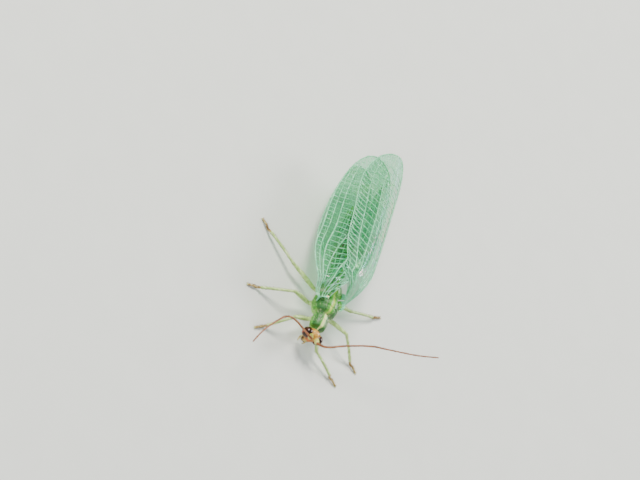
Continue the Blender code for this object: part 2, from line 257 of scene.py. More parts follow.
def tubes(paths, up, radii, sides):
    # rings of `sides` points round every path: path + r (cos w * side + sin w * top), with flat end caps.
    # paths (n, k, 3), up a direction across them, radii (n, k)
    paths = np.asarray(paths, float)
    count, steps = paths.shape[:2]
    along = unit(np.gradient(paths, axis=1))
    side = unit(np.cross(along, np.broadcast_to(up, paths.shape)))
    top = np.cross(side, along)
    w = turns(sides)
    radii = np.broadcast_to(radii, (count, steps))[..., None, None]
    circle = np.cos(w)[:, None] * side[:, :, None] + np.sin(w)[:, None] * top[:, :, None]
    rings = paths[:, :, None] + radii * circle
    n, k, s = np.meshgrid(np.arange(count), np.arange(steps - 1), np.arange(sides), indexing="ij")
    start = (n * steps + k) * sides
    after = (s + 1) % sides
    quads = np.stack([start + s, start + sides + s, start + sides + after, start + after], -1)
    first = (np.arange(count) * steps * sides)[:, None] + np.arange(sides)
    caps = np.vstack([first, (first + (steps - 1) * sides)[:, ::-1]])
    return rings.reshape(-1, 3), quads.reshape(-1, 4).tolist() + caps.tolist()


def gridFaces(rows, columns, closedRows=False, closedColumns=False):
    # quads between the neighbours of a grid, wrapped round where it is closed
    r, c = np.indices((rows - (not closedRows), columns - (not closedColumns)))
    low, high, after = r * columns, (r + 1) % rows * columns, (c + 1) % columns
    return np.stack([low + c, high + c, high + after, low + after], -1).reshape(-1, 4).tolist()


def closedGrid(points):
    # a grid (rows, around, 3) closed round its second way, its first and last rows capped
    rows, around = points.shape[:2]
    caps = [list(range(around)), list(range((rows - 1) * around, rows * around))]
    return points.reshape(-1, 3), gridFaces(rows, around, closedColumns=True) + caps


def blob(middle, radii, rows, around):
    # ellipsoid: middle + radii (sin p cos w, sin p sin w, cos p)
    p = np.linspace(0.02, np.pi - 0.02, rows)[:, None]
    w = turns(around)[None]
    ball = np.stack([np.sin(p) * np.cos(w), np.sin(p) * np.sin(w), np.cos(p) + 0 * w], -1)
    return closedGrid(np.asarray(middle, float) + ball * np.asarray(radii, float))


def makePiece(name, parts, materials, nodes=(), marks=None, uv=None):
    # parts: (points, faces, material number), joined in one mesh. marks: named numbers for every point
    points, faces, numbers, start = [], [], [], 0
    for partPoints, partFaces, number in parts:
        points.append(partPoints)
        faces += [[i + start for i in face] for face in partFaces]
        numbers += [number] * len(partFaces)
        start += len(partPoints)
    mesh = bpy.data.meshes.new(name)
    mesh.from_pydata(toRow(np.vstack(points)).tolist(), [], faces)
    mesh.polygons.foreach_set("material_index", np.array(numbers, np.int32))
    for material in materials:
        mesh.materials.append(material)
    for key, values in (marks or {}).items():
        mesh.attributes.new(key, "FLOAT", "POINT").data.foreach_set("value", np.asarray(values, np.float32))
    if uv is not None:
        loops = np.empty(len(mesh.loops), np.int32)
        mesh.loops.foreach_get("vertex_index", loops)
        mesh.uv_layers.new(name="OFBake").data.foreach_set("uv", uv[loops].astype(np.float32).ravel())
    bm = bmesh.new()
    bm.from_mesh(mesh)
    bmesh.ops.recalc_face_normals(bm, faces=bm.faces)
    bm.to_mesh(mesh)
    bm.free()
    mesh.shade_smooth()
    piece = addObject(name, mesh)
    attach(piece, "root")
    if nodes:
        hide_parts(*nodes)


def pointMarks(marks, extra, **others):
    # marks between 0 and 1 for the skin's points, and one value each for the points joined to it
    return {key: np.concatenate([np.clip(value, 0, 1).ravel(), np.full(extra, others.get(key, 0.0))])
            for key, value in marks.items()}


def hairs(roots, ways, lengths, radius):
    # each hair is a bent three-sided spike: a ring at the root, a thinner one past the middle, and its tip
    ways = unit(ways)
    lengths = lengths[:, None]
    side = unit(np.cross(ways, np.array([0.31, 0.17, 0.93])))
    top = np.cross(side, ways)
    w = turns(3)
    ring = np.cos(w)[None, :, None] * side[:, None] + np.sin(w)[None, :, None] * top[:, None]
    knee = roots + ways * lengths * 0.55 + np.array([0.0, 0.05, 0.0]) * lengths
    tip = roots + ways * lengths + np.array([0.0, 0.22, 0.0]) * lengths
    rings = [roots[:, None] + ring * radius, knee[:, None] + ring * radius * 0.7]
    points = np.concatenate([*rings, tip[:, None]], 1)
    plan = np.array([[0, 1, 4, 3], [1, 2, 5, 4], [2, 0, 3, 5]])
    tips = np.array([[3, 4, 6], [4, 5, 6], [5, 3, 6], [0, 2, 1]])
    start = (np.arange(len(roots)) * 7)[:, None, None]
    faces = (start + plan).reshape(-1, 4).tolist() + (start + tips).reshape(-1, 3).tolist()
    return points.reshape(-1, 3), faces


def rootsAround(path, radius, up, span, count, sunk, lean):
    # random bristle roots round a limb, and the way each one leans
    pick = rng.integers(*span, count)
    way = unit(np.gradient(path, axis=0))[pick]
    turn = rng.uniform(0, 2 * np.pi, count)[:, None]
    side = unit(np.cross(way, up))
    out = np.cos(turn) * side + np.sin(turn) * np.cross(side, way)
    return path[pick] + out * radius[pick, None] * sunk, out + way * lean


def hairMap(count):
    # every hair keeps a patch 0.003 wide of its own in the baked picture
    across = int(math.ceil(math.sqrt(count)))
    i = np.arange(count)
    cell = np.stack([i % across + 0.5, i // across + 0.5], -1) / across
    w = turns(7)
    spot = np.stack([np.cos(w), np.sin(w)], -1) * 0.0015
    return (cell[:, None] + spot[None]).reshape(-1, 2)


# The trunk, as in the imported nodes

trunk = dict(axis=1.80, pro=(-1.95, -0.85), meso=(-0.85, 0.75), meta=(0.75, 1.75), tail=(1.75, 9.3),
             rings=8, inset=0.985, around=96)


def trunkCentre(y):
    # level thorax; the abdomen sinks 0.08 and drifts 0.035 to the left for each mm, the neck sinks 0.12
    behind = np.maximum(0.0, y - trunk["tail"][0])
    ahead = np.maximum(0.0, trunk["meso"][0] - y)
    return np.stack([0.035 * behind, y, trunk["axis"] - 0.08 * behind - 0.12 * ahead], -1)


def trunkRadii(y):
    # half width and half height of each part: a base plus a half sine along it
    def part(span, phase, sweep):
        return np.sin(np.pi * (phase + sweep * (y - span[0]) / (span[1] - span[0])))
    pro, meso = part(trunk["pro"], 0.25, 0.6), part(trunk["meso"], 0.18, 0.68)
    meta = part(trunk["meta"], 0.2, 0.6)
    t = np.clip((y - trunk["tail"][0]) / (trunk["tail"][1] - trunk["tail"][0]), 0.0, 1.0)
    swell = 0.55 + 0.16 * np.sin(np.pi * np.minimum(1.0, t / 0.9) ** 0.8)
    saw = (t * trunk["rings"]) % 1.0
    ring = 0.95 + 0.06 * smooth(0.0, 0.12, saw) - 0.03 * saw
    end = np.sqrt(np.clip(1.0 - np.maximum(0.0, (t - 0.84) / 0.16) ** 2.4, 0.0, 1.0))
    tail = swell * ring * end
    which = [y < trunk[name][1] for name in ("pro", "meso", "meta")]
    width = np.select(which, [0.44 + 0.20 * pro, 0.52 + 0.48 * meso, 0.50 + 0.36 * meta], tail)
    height = np.select(which, [0.36 + 0.20 * pro, 0.50 + 0.42 * meso, 0.48 + 0.32 * meta], tail * 1.05)
    return width, height


def trunkSurface(y, w):
    # centre(y) + (width cos w, 0, height sin w), pressed in along sutures; w = 90 degrees is the back
    width, height = trunkRadii(y)
    pro, meso, meta = trunk["pro"], trunk["meso"], trunk["meta"]
    neck = smooth(-1.92, -2.06, y)
    width = width * (1 - neck) + 0.24 * neck
    height = height * (1 - neck) + 0.22 * neck
    front = np.sqrt(np.clip(1 - ((-2.05 - y) / 0.16).clip(0, 1) ** 2, 0, 1))
    back, flank = np.sin(w), np.cos(w)
    press = 0.0
    for seam, depth in ((pro[1], 0.20), (meso[1], 0.12), (meta[1], 0.14)):
        press = press + depth * bell(y, seam, 0.07)
    scutum = 0.05 * bell(y, -0.42, 0.05) + 0.07 * bell(y, 0.38, 0.06)
    press = press + scutum * smooth(0.2, 0.7, back)
    onThorax = smooth(meso[0], meso[0] + 0.1, y) * (1 - smooth(meta[1] - 0.1, meta[1], y))
    press = press + 0.07 * onThorax * bell(flank, 0, 0.10) * (back > 0)
    press = press + 0.05 * onThorax * bell(back + 0.15, 0.3 * (y + 0.1), 0.08)
    onPro = smooth(pro[0], pro[0] + 0.1, y) * (1 - smooth(pro[1] - 0.15, pro[1], y))
    press = press + onPro * (0.05 * bell(y, -1.42, 0.05) * (back > 0) + 0.10 * bell(back, 0.30, 0.12))
    onTail = smooth(trunk["tail"][0], trunk["tail"][0] + 0.2, y)
    folds = 0.02 * np.sin(w * 9.0 + y * 7.0) * bell(back, -0.05, 0.25)
    press = press + onTail * (0.07 * bell(back, -0.05, 0.10) + folds)
    size = trunk["inset"] * (1 - press) * front
    centre = trunkCentre(y)
    return centre + np.stack([width * size * flank, 0 * y, height * size * back], -1)


def cuticleMaterial(name, base, dark, bright, roughness):
    # chitin cuticle, grown and hardened: waxy, slightly see-through, satin; grain 0.05 mm, mottling 0.3 mm
    material, tree, shader = newMaterial(name, {
        "Subsurface Weight": 0.18, "Subsurface Radius": (0.6, 1.0, 0.35), "Subsurface Scale": 0.00025,
        "IOR": 1.5})
    place = objectPlace(tree)
    mottle = noise(tree, place, 3300.0, 4.0, Roughness=0.6).outputs["Fac"]
    colour = ramp(tree, mottle, ((0.34, dark), (0.52, base), (0.68, bright)))
    grain = addNode(tree, "ShaderNodeTexVoronoi", {"Scale": 20000.0}, {"Vector": place})
    bump = addNode(tree, "ShaderNodeBump", {"Strength": 0.25, "Distance": 4e-6},
                   {"Height": grain.outputs["Distance"]})
    shine = addNode(tree, "ShaderNodeMapRange", {"To Min": roughness - 0.08, "To Max": roughness + 0.10},
                    {"Value": mottle})
    feed(tree, shader, {"Normal": bump.outputs["Normal"], "Roughness": shine.outputs["Result"],
                        "Base Color": colour})
    return material, tree, shader, colour


def markedMaterial(name, base, dark, bright, roughness, layers):
    # cuticle with pigment laid over it where the mesh carries a mark: (mark, colour, strength)
    material, tree, shader, colour = cuticleMaterial(name, base, dark, bright, roughness)
    ragged = noise(tree, objectPlace(tree), 9000.0, 3.0).outputs["Fac"]
    for mark, hue, strength in layers:
        mask = addNode(tree, "ShaderNodeAttribute", {"attribute_name": mark})
        edge = addNode(tree, "ShaderNodeMath", {"operation": "MULTIPLY_ADD", 1: 0.5, 2: -0.25}, {0: ragged})
        worn = addNode(tree, "ShaderNodeMath", {"operation": "ADD"},
                       {0: mask.outputs["Fac"], 1: edge.outputs[0]})
        sharp = addNode(tree, "ShaderNodeMapRange", {"From Min": 0.30, "From Max": 0.62, "To Max": strength},
                        {"Value": worn.outputs[0]})
        mix = addNode(tree, "ShaderNodeMix", {"data_type": "RGBA", 7: linearHex(hue)},
                      {0: sharp.outputs["Result"], 6: colour})
        colour = mix.outputs[2]
    feed(tree, shader, {"Base Color": colour})
    return material


def makeTrunk():
    start, end = trunk["tail"]
    neck = -2.21 + 0.16 * (1 - np.cos(np.linspace(0.02, np.pi / 2, 8)))
    tail = np.concatenate([np.linspace(0.002, 0.90, 230),
                           0.90 + 0.0999 * np.sin(np.linspace(0.05, np.pi / 2, 26))])
    rows = np.concatenate([neck, np.linspace(-2.04, start, 110), start + (end - start) * tail])
    y, w = np.meshgrid(rows, turns(trunk["around"]), indexing="ij")
    points = trunkSurface(y, w)
    body = closedGrid(points)
    # wing roots: small domed plates on the shoulders, (place from the trunk's axis, half sizes)
    plates = []
    for place, size in (((-0.80, -0.05, 0.10), (0.32, 0.30, 0.28)), ((0.82, 0.32, 0.48), (0.34, 0.42, 0.26)),
                        ((-0.66, 1.15, 0.36), (0.20, 0.30, 0.16)), ((0.66, 1.15, 0.36), (0.20, 0.30, 0.16))):
        plates.append(blob(np.array(place) + (0, 0, trunk["axis"]), size, 16, 24))
    extra = sum(len(p[0]) for p in plates)
    back, flank = np.sin(w), np.abs(np.cos(w))
    above = back > 0
    t = (y - start) / (end - start)
    onTail = smooth(1.7, 1.9, y)
    ringPhase = (t * trunk["rings"]) % 1.0
    stripe = smooth(0.24, 0.06, flank) * above * (0.55 + 0.45 * onTail)
    stripe = stripe * np.where(onTail > 0.5, 0.75 + 0.35 * np.cos(2 * np.pi * (ringPhase - 0.45)), 1.0)
    onPro = smooth(-0.80, -0.90, y)
    # painted shade: the upper flanks of the pronotum and the front of the mesothorax are painted deeper green
    # where they lie in shade
    paintedShade = smooth(0.6, 0.3, y) * smooth(0.22, 0.42, flank) * smooth(0.05, 0.35, back)
    blotch = onTail * above * bell(flank, 0.54, 0.27) * bell(ringPhase, 0.45, 0.28)
    spot = onTail * above * bell(flank, 0.20, 0.13) * bell(ringPhase, 0.62, 0.15)
    seams = bell(y, trunk["meso"][0], 0.06) + bell(y, trunk["meta"][0], 0.05)
    marks = dict(stripe=stripe, pale=onPro * smooth(0.30, 0.08, flank) * above,
                 paintedShade=paintedShade * (0.75 + 0.25 * onPro),
                 blotch=blotch * smooth(0.04, 0.12, t) * smooth(0.88, 0.78, t),
                 spot=spot * smooth(0.12, 0.30, t), tailTip=smooth(0.80, 0.90, t),
                 belly=smooth(-0.15, -0.55, back), fold=bell(ringPhase, 0.02, 0.05) * onTail + seams)
    # the deep green #1f5c22 layer is painted shade on the upper flanks of the front trunk, not a pigment mark
    material = markedMaterial(
        "green waxy cuticle", "#4c9a2e", "#2f7a24", "#74ba42", 0.42,
        (("belly", "#a3d470", 0.8), ("fold", "#9ecb66", 0.45), ("stripe", "#cfd85a", 0.8),
         ("paintedShade", "#1f5c22", 0.8), ("pale", "#dde79a", 0.9), ("blotch", "#a83c22", 0.95),
         ("spot", "#f4ea55", 0.95), ("tailTip", "#c9e23e", 0.8)))
    makePiece("bodySkin", [(*body, 0)] + [(*p, 0) for p in plates], [material],
              ("prothorax", "mesothorax", "metathorax", "abdomen"), pointMarks(marks, extra))


makeTrunk()
print("trunk skin made")


# Head, with eyes and mouthparts

head = dict(middle=(0.0, -2.47, 1.368), radii=(0.56, 0.46, 0.62), inset=0.97,
            eyeRadius=0.36, eyePlace=(0.50, -0.10, 0.12), antennaSide=0.31, socket=(0.29, 0.36))


def headPoint(x, z, out=0.0):
    # the face's surface in front of (x, z), measured from the head's middle
    a, b, c = np.array(head["radii"]) * head["inset"]
    y = -b * np.sqrt(np.clip(1 - (x / a) ** 2 - (z / c) ** 2, 0, 1)) - out
    return np.array(head["middle"]) + np.stack([x + 0 * y, y, z + 0 * y], -1)


def makeHead():
    middle, radii = np.array(head["middle"]), np.array(head["radii"]) * head["inset"]
    p, w = np.meshgrid(np.linspace(0.01, np.pi - 0.01, 90), turns(120), indexing="ij")
    ball = np.stack([np.sin(p) * np.cos(w), np.sin(p) * np.sin(w), np.cos(p)], -1)
    x, y, z = ball[..., 0], ball[..., 1], ball[..., 2]
    face = smooth(0.1, -0.5, y)
    wide = np.abs(x)
    press = face * (0.09 * bell(z, -0.32, 0.06) * smooth(0.55, 0.35, wide)
                    + 0.07 * bell(wide + 0.15 * z, 0.42, 0.06) * smooth(0.4, 0.1, z)
                    + 0.05 * bell(z, 0.22, 0.08) * smooth(0.6, 0.3, wide))
    press = press + 0.05 * bell(x, 0, 0.05) * smooth(0.4, 0.8, z)
    skull = closedGrid(middle + ball * radii * (1 - press)[..., None])
    parts = [(*skull, 0)]
    waves = np.sin(x * 13.0 + 2.0 * y) * np.sin(y * 15.0 + z * 9.0 + 1.0)
    marks = dict(cheek=face * bell(wide, 0.52, 0.13) * bell(z, -0.28, 0.26),
                 brow=face * bell(wide, 0.34, 0.12) * bell(z, 0.38, 0.12),
                 crown=smooth(0.35, 0.7, z), freckle=smooth(0.45, 0.75, waves) * smooth(-0.5, 0.1, z),
                 speckle=face * smooth(0.6, 0.3, wide) * smooth(0.5, 0.1, z))
    around, sides = 28, 8
    for side in (-1, 1):  # a raised ring round each antenna's root
        w, v = turns(around), turns(sides)
        centre = headPoint(side * head["socket"][0], head["socket"][1])
        ring = centre + np.stack([0.17 * np.cos(w), 0 * w, 0.16 * np.sin(w)], -1)
        ring[:, 1] = headPoint(ring[:, 0] - middle[0], ring[:, 2] - middle[2])[:, 1] - 0.01
        tangent = unit(np.roll(ring, -1, 0) - np.roll(ring, 1, 0))
        outward = unit(ring - centre)
        lift = np.cross(tangent, outward)
        circle = np.cos(v)[None, :, None] * outward[:, None] + np.sin(v)[None, :, None] * lift[:, None]
        tube = ring[:, None] + 0.035 * circle
        parts.append((tube.reshape(-1, 3), gridFaces(around, sides, True, True), 0))
    material = markedMaterial("yellow face cuticle", "#c99a34", "#86501c", "#e3c457", 0.38,
                              (("crown", "#c98f34", 0.6), ("speckle", "#c25a1c", 0.75),
                               ("cheek", "#5a1f12", 0.95), ("brow", "#8f3d1e", 0.9),
                               ("freckle", "#6b3014", 0.75)))
    makePiece("headCapsule", parts, [material], ("head",),
              pointMarks(marks, 2 * around * sides, brow=0.3))


def eyeMaterial():
    # compound eye: clear lens cuticle over dark pigment; its coppery orange patches are partly the eye's own
    # metallic tint and partly a painted glint; facets 0.02 mm across in life, drawn at 0.045 mm so that they
    # show
    material, tree, shader = newMaterial("faceted eye cuticle", {
        "Metallic": 0.35, "Roughness": 0.30, "Coat Weight": 0.5, "Coat Tint": linearHex("#ffb08c"),
        "Coat Roughness": 0.16})
    place = objectPlace(tree)
    cell = addNode(tree, "ShaderNodeTexVoronoi", {"Scale": 22000.0, "Randomness": 0.25}, {"Vector": place})
    cloud = noise(tree, place, 2600.0, 2.0)
    # the orange stops are partly the eye's own coppery tint and partly a painted glint
    colour = ramp(tree, cloud.outputs["Fac"], ((0.50, "#140705"), (0.62, "#48160d"), (0.70, "#b8542a")))
    bump = addNode(tree, "ShaderNodeBump", {"Strength": 0.5, "Distance": 6e-6, "invert": True},
                   {"Height": cell.outputs["Distance"]})
    feed(tree, shader, {"Base Color": colour, "Normal": bump.outputs["Normal"]})
    return material


def makeEyes():
    material = eyeMaterial()
    for side, name in ((-1, "Right"), (1, "Left")):
        x, y, z = head["eyePlace"]
        r = head["eyeRadius"] * 0.99
        ball = blob(np.array(head["middle"]) + np.array([side * x, y, z]), (r, r * 1.05, r * 1.12), 60, 80)
        makePiece("eye" + name, [(*ball, 0)], [material], ("eye_" + name.lower(),))


def makeMouth():
    # labrum, two mandibles, and jointed feelers of the mouth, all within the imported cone's reach
    cy, cz = head["middle"][1:]
    parts = [(*blob((0, cy - 0.22, cz - 0.56), (0.20, 0.10, 0.14), 18, 24), 0)]
    for side in (-1, 1):
        jaw = splineThrough([(side * 0.24, cy - 0.12, cz - 0.50), (side * 0.22, cy - 0.15, cz - 0.66),
                             (side * 0.10, cy - 0.19, cz - 0.80), (side * 0.015, cy - 0.20, cz - 0.86)], 14)
        parts.append((*tubes(jaw[None], (0, 1, 0), np.linspace(0.10, 0.02, 14)[None], 12), 1))
        for knots, r in (([(side * 0.20, cy + 0.02, cz - 0.55), (side * 0.30, cy - 0.02, cz - 0.78),
                           (side * 0.27, cy - 0.14, cz - 0.98), (side * 0.20, cy - 0.22, cz - 1.10)], 0.055),
                         ([(side * 0.09, cy + 0.06, cz - 0.60), (side * 0.13, cy + 0.02, cz - 0.88),
                           (side * 0.10, cy - 0.05, cz - 1.06)], 0.042)):
            path = splineThrough(knots, 33)
            s = np.linspace(0, 1, 33)
            joint = 1 - 0.45 * jointBell(s * 4, 0.09)
            parts.append((*tubes(path[None], (1, 0.2, 0), (r * joint * (1 - 0.6 * s ** 6))[None], 10), 0))
    palp, *_ = cuticleMaterial("pale palp cuticle", "#c9b25a", "#8e6a34", "#e2d084", 0.4)
    jaws, *_ = cuticleMaterial("brown jaw cuticle", "#6f3418", "#431c0c", "#94502a", 0.3)
    makePiece("mouth", parts, [palp, jaws], ("mouthparts",))


makeHead()
makeEyes()
makeMouth()
print("head made")


# Antennae

antennae = dict(
    left=[(1.05, -3.02, 2.14), (2.33, -2.05, 2.3), (3.92, -1.1, 2.8), (5.0, -0.67, 3.1), (7.5, 0.4, 3.5),
          (9.3, 1.4, 3.7)],
    right=[(-1.25, -3.15, 2.15), (-2.3, -3.05, 2.25), (-3.2, -3.5, 2.5), (-3.9, -4.4, 2.7), (-4.9, -6.0, 3.0),
           (-5.6, -7.6, 3.2)],
    segments=74, thick=0.085, thin=0.042, steps=1200, bristles=1500, across=(0.1, 0.2, 1.0))


def makeAntennae():
    material, *_ = cuticleMaterial("red brown antenna cuticle", "#96552c", "#6d3718", "#bb7c45", 0.42)
    stem, *_ = cuticleMaterial("pale antenna base cuticle", "#b9bb58", "#8c8f36", "#d6d480", 0.38)
    bristles = []
    for name, side in (("left", 1), ("right", -1)):
        skin = headPoint(side * head["socket"][0], head["socket"][1], -0.03)
        root = np.array(head["middle"]) + np.array([side * head["antennaSide"], -0.52, 0.42])
        first = root + np.array([side * 0.06, -0.20, 0.20])
        path = splineThrough(np.vstack([root, first, antennae[name]]), 16)
        path = splineThrough(path, antennae["steps"])
        s = np.linspace(0, 1, antennae["steps"])
        radius = antennae["thick"] + (antennae["thin"] - antennae["thick"]) * s ** 0.8
        radius = radius * (1.0 - 0.34 * jointBell(s * antennae["segments"], 0.13))
        radius = radius * (1 - 0.7 * smooth(0.993, 1.0, s))
        parts = [(*tubes(path[None, 40:-3], antennae["across"], radius[None, 40:-3], 12), 0)]
        # scape and pedicel: two swollen segments between the head and the flagellum
        scape = splineThrough([skin, root, root * 0.45 + first * 0.55], 30)
        stalk = path[14:60]
        for line, thin, swell, phase, sweep, power, sides in (
                (scape, 0.085, 0.095, 0.06, 0.90, 0.7, 24), (stalk, 0.05, 0.075, 0.05, 0.93, 0.8, 20)):
            u = np.linspace(0, 1, len(line))
            thick = thin + swell * np.sin(np.pi * (phase + sweep * u)) ** power
            parts.append((*tubes(line[None], (1, 0, 0.2), thick[None], sides), 1))
        title = "antenna" + name.capitalize()
        makePiece(title, parts, [material, stem], ("antenna_" + name,))
        bristles.append(
            rootsAround(path, radius, antennae["across"], (70, 1180), antennae["bristles"], 0.85, 1.1))
    return [np.vstack(made) for made in zip(*bristles)]


antennaHairs = makeAntennae()
print("antennae made")


# Wings

roof = dict(right=math.radians(45), left=math.radians(52), bend=1.3, rise=1.22, fall=0.045, drift=0.03,
            pitch=0.68)
foreWing = dict(length=13.2, width=5.2)
hindWing = dict(length=11.0, width=3.0, start=1.0, climbs=(), sink=0.16, lobe=0.0,
                reach=((0.0, 1.25), (0.40, 1.95), (1.0, 1.60)))
wings = dict(
    forewing_right=dict(foreWing, side=-1, start=-0.5, climbs=((0.45, 1.5),), sink=0.20, lobe=0.15,
                        reach=((0.0, 1.15), (0.12, 1.90), (0.50, 1.35), (1.0, 1.15)),
                        base=((-0.92, -0.32, 1.96), (-0.80, 0.22, 2.22))),
    forewing_left=dict(foreWing, side=1, start=0.35, climbs=((0.0, 1.2), (0.1, 1.8)), sink=-0.03, lobe=0.60,
                       reach=((0.0, 1.15), (0.12, 0.75), (0.50, 1.35), (1.0, 0.45)),
                       base=((0.84, -0.14, 2.32), (0.72, 0.66, 2.46))),
    hindwing_right=dict(hindWing, side=-1, base=((-0.74, 0.98, 2.10), (-0.60, 1.42, 2.20))),
    hindwing_left=dict(hindWing, side=1, base=((0.74, 0.98, 2.10), (0.60, 1.42, 2.20))))
membrane = dict(ripple=0.022, rows=190, columns=64, edge=0.03, first=0.02, span=0.9645,
                crossVein=0.024, bristles=170)
hinge = dict(rows=24, columns=40, thin=0.028,
             roots=((0.97, 0.055), (0.78, 0.062), (0.50, 0.050), (0.16, 0.042)))


def roofPoints(across, y, level):
    # the roof's section has slope s(b) turning smoothly from the right flank to the left over the ridge;
    # a point on sheet `level` stands level above its foot b, and b + level s(b) = across is solved by Newton
    right, left, bend = roof["right"], roof["left"], roof["bend"]

    def slopeAt(foot):
        u = np.clip((foot + bend) / (2 * bend), 0, 1)
        return (right + left) * u * u * (3 - 2 * u) - right, (right + left) * 6 * u * (1 - u) / (2 * bend)

    across, y, level = np.broadcast_arrays(across, y, level)
    foot = np.array(across, float)
    for _ in range(14):
        slope, rate = slopeAt(foot)
        foot = foot - (foot + level * slope - across) / (1 + level * rate)
    steps = np.linspace(-7, 7, 2801)
    slopes = slopeAt(steps)[0]
    runs = [np.cumsum(share) * (steps[1] - steps[0]) for share in (np.cos(slopes), -np.sin(slopes))]
    x, z = (np.interp(foot, steps, run - run[len(steps) // 2]) for run in runs)
    slope = slopeAt(foot)[0]
    ridge = trunk["axis"] + roof["rise"] - roof["fall"] * y
    return np.stack([roof["drift"] * y + x + level * np.sin(slope), y, ridge + z + level * np.cos(slope)], -1)


def wingMargins(wing, t):
    # hind and front margin at t from root to tip, as mm from the wing's fold; the film keeps just inside
    q = np.clip(0.02 + 0.98 * t, 0, 1)
    front = 0.40 * wing["width"] * np.sqrt(np.clip(1 - np.abs(2 * q - 1) ** 2.6, 0, 1)) * (0.80 + 0.20 * q)
    front = front * (0.32 + 0.68 * smooth(0, 0.36, q))
    hind = -0.60 * wing["width"] * np.clip(1 - np.abs(2 * q ** 1.25 - 1) ** 2.2, 0, 1) ** 0.62
    hind = hind - wing["lobe"] * bell(t, 0.09, 0.05)
    inside = np.minimum(membrane["edge"], 0.1 * (front - hind)) - 0.10 * smooth(0.08, 0.0, t)
    return hind + inside, front - inside


def wingPoints(wing, t, v, lift=0.0):
    # t runs from root to tip, v from the hind margin to the front one, lift is height over the membrane
    t, v, lift = np.broadcast_arrays(np.asarray(t, float), np.asarray(v, float), lift)
    along = membrane["first"] + membrane["span"] * t
    hind, front = wingMargins(wing, t)
    chord = hind + (front - hind) * v
    reach = wing["reach"][0][1]
    for (first, low), (last, high) in zip(wing["reach"], wing["reach"][1:]):
        reach = reach + (high - low) * smooth(first, last, along)
    run = along * wing["length"]
    level = wing["sink"] * smooth(0.0, 0.1, t) + lift
    for start, end in wing["climbs"]:
        level = level + roof["pitch"] * smooth(start, end, run)
    ripple = membrane["ripple"] * np.cos(2 * np.pi * v * 4.0 + 0.6)
    level = level + ripple * smooth(0, 0.1, t) * smooth(1.0, 0.85, t)
    return roofPoints(wing["side"] * (reach + chord), wing["start"] + run, level)


# Long veins as knots (t, v), in the order from the front margin to the hind one
foreVeins = dict(
    subcosta=[(0, 0.90), (0.25, 0.905), (0.55, 0.91), (0.8, 0.94), (0.93, 0.995)],
    radius=[(0, 0.80), (0.3, 0.815), (0.6, 0.82), (0.85, 0.85), (0.985, 0.86)],
    sector=[(0.06, 0.76), (0.3, 0.63), (0.55, 0.58), (0.8, 0.60), (0.985, 0.64)],
    media=[(0.0, 0.55), (0.22, 0.40), (0.5, 0.355), (0.75, 0.365), (0.95, 0.38)],
    cubitus=[(0.0, 0.40), (0.22, 0.22), (0.5, 0.155), (0.75, 0.16), (0.93, 0.17)],
    costal=32, radial=24, middle=22, inner=20, marginal=28, tipFan=17)
hindVeins = dict(
    subcosta=[(0, 0.93), (0.25, 0.935), (0.55, 0.94), (0.8, 0.96), (0.93, 0.995)],
    radius=[(0, 0.80), (0.3, 0.82), (0.6, 0.83), (0.85, 0.86), (0.985, 0.86)],
    sector=[(0.05, 0.72), (0.3, 0.60), (0.55, 0.56), (0.8, 0.59), (0.985, 0.62)],
    media=[(0.0, 0.50), (0.22, 0.40), (0.5, 0.35), (0.75, 0.36), (0.95, 0.38)],
    cubitus=[(0.0, 0.32), (0.22, 0.22), (0.5, 0.17), (0.75, 0.17), (0.93, 0.18)],
    costal=26, radial=20, middle=18, inner=16, marginal=24, tipFan=14)


def rungs(low, high, starts, slant, bow=0.0, steps=7):
    # crossveins from the curve low(t) to high(t), their upper end `slant` farther along
    s = np.linspace(0, 1, steps)[None]
    t0 = np.asarray(starts, float)[:, None]
    t1 = np.minimum(t0 + slant, 0.998)
    t = t0 + (t1 - t0) * s + bow * np.sin(np.pi * s)
    v = low(t0) + (high(t1) - low(t0)) * s
    return np.stack([t, v], -1)


def tipForks(wing, start, count):
    # forks that leave t = start evenly and end evenly round the tip's outline, straight on the flat wing
    t = np.linspace(start, 0.9985, 60)
    hind, front = wingMargins(wing, t)
    length = wing["length"]
    outline = np.vstack([np.stack([t * length, hind], -1), np.stack([t * length, front], -1)[::-1]])
    run = np.concatenate([[0], np.cumsum(np.linalg.norm(np.diff(outline, axis=0), axis=1))])
    marks = np.linspace(0, run[-1], count + 2)[1:-1]
    ends = np.stack([np.interp(marks, run, outline[:, k]) for k in (0, 1)], -1)
    low, high = wingMargins(wing, np.array(start))
    share = np.linspace(0.05, 0.95, count)
    starts = np.stack([np.full(count, start * length), low + (high - low) * share], -1)
    s = np.linspace(0, 1, 9)[None, :, None]
    flat = starts[:, None] * (1 - s) + ends[:, None] * s
    steps = np.stack([flat[:-1, 4], (flat[:-1, 4] + flat[1:, 5]) / 2, flat[1:, 5]], 1)
    made = []
    for lines in (flat, steps[::2]):
        t = lines[..., 0] / length
        hind, front = wingMargins(wing, t)
        made.append(np.stack([t, np.clip((lines[..., 1] - hind) / (front - hind), 0, 1)], -1))
    return made


